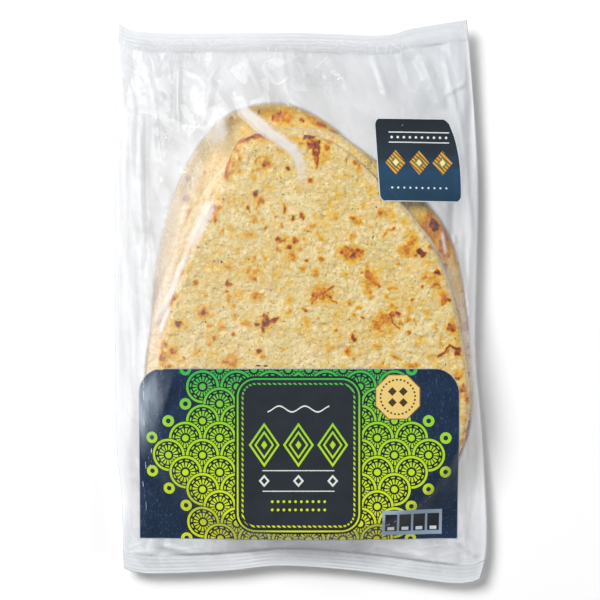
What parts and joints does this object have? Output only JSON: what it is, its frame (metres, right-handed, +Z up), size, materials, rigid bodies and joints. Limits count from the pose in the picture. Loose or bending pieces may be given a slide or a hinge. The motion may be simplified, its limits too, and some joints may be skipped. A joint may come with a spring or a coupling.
{
  "type": "bagged naan flatbread pack",
  "caption": "Clear sealed film bag of stacked teardrop naan flatbreads with a printed navy panel and a corner label, lying flat.",
  "frame": {"origin": "centre of the bag seen from above, on the table that it lies on", "axes": "+X to the bag's right as its front is seen, +Y towards the breads' narrow ends, +Z up out of the table through the stack"},
  "size_m": [0.2206, 0.3338, 0.0401],
  "materials": {
    "film": "clear crinkled film, glossy, faintly grey where it is doubled",
    "bread": "floury baked flatbread, cream to gold, with scattered brown blisters and herb flecks",
    "print": "navy and lime print on film, satin to gloss",
    "label": "navy print on film with a thin pale border, satin to gloss"
  },
  "bodies": {
    "root": {"bag": "film", "front_print": "print", "corner_label": "label"}
  },
  "joints": []
}
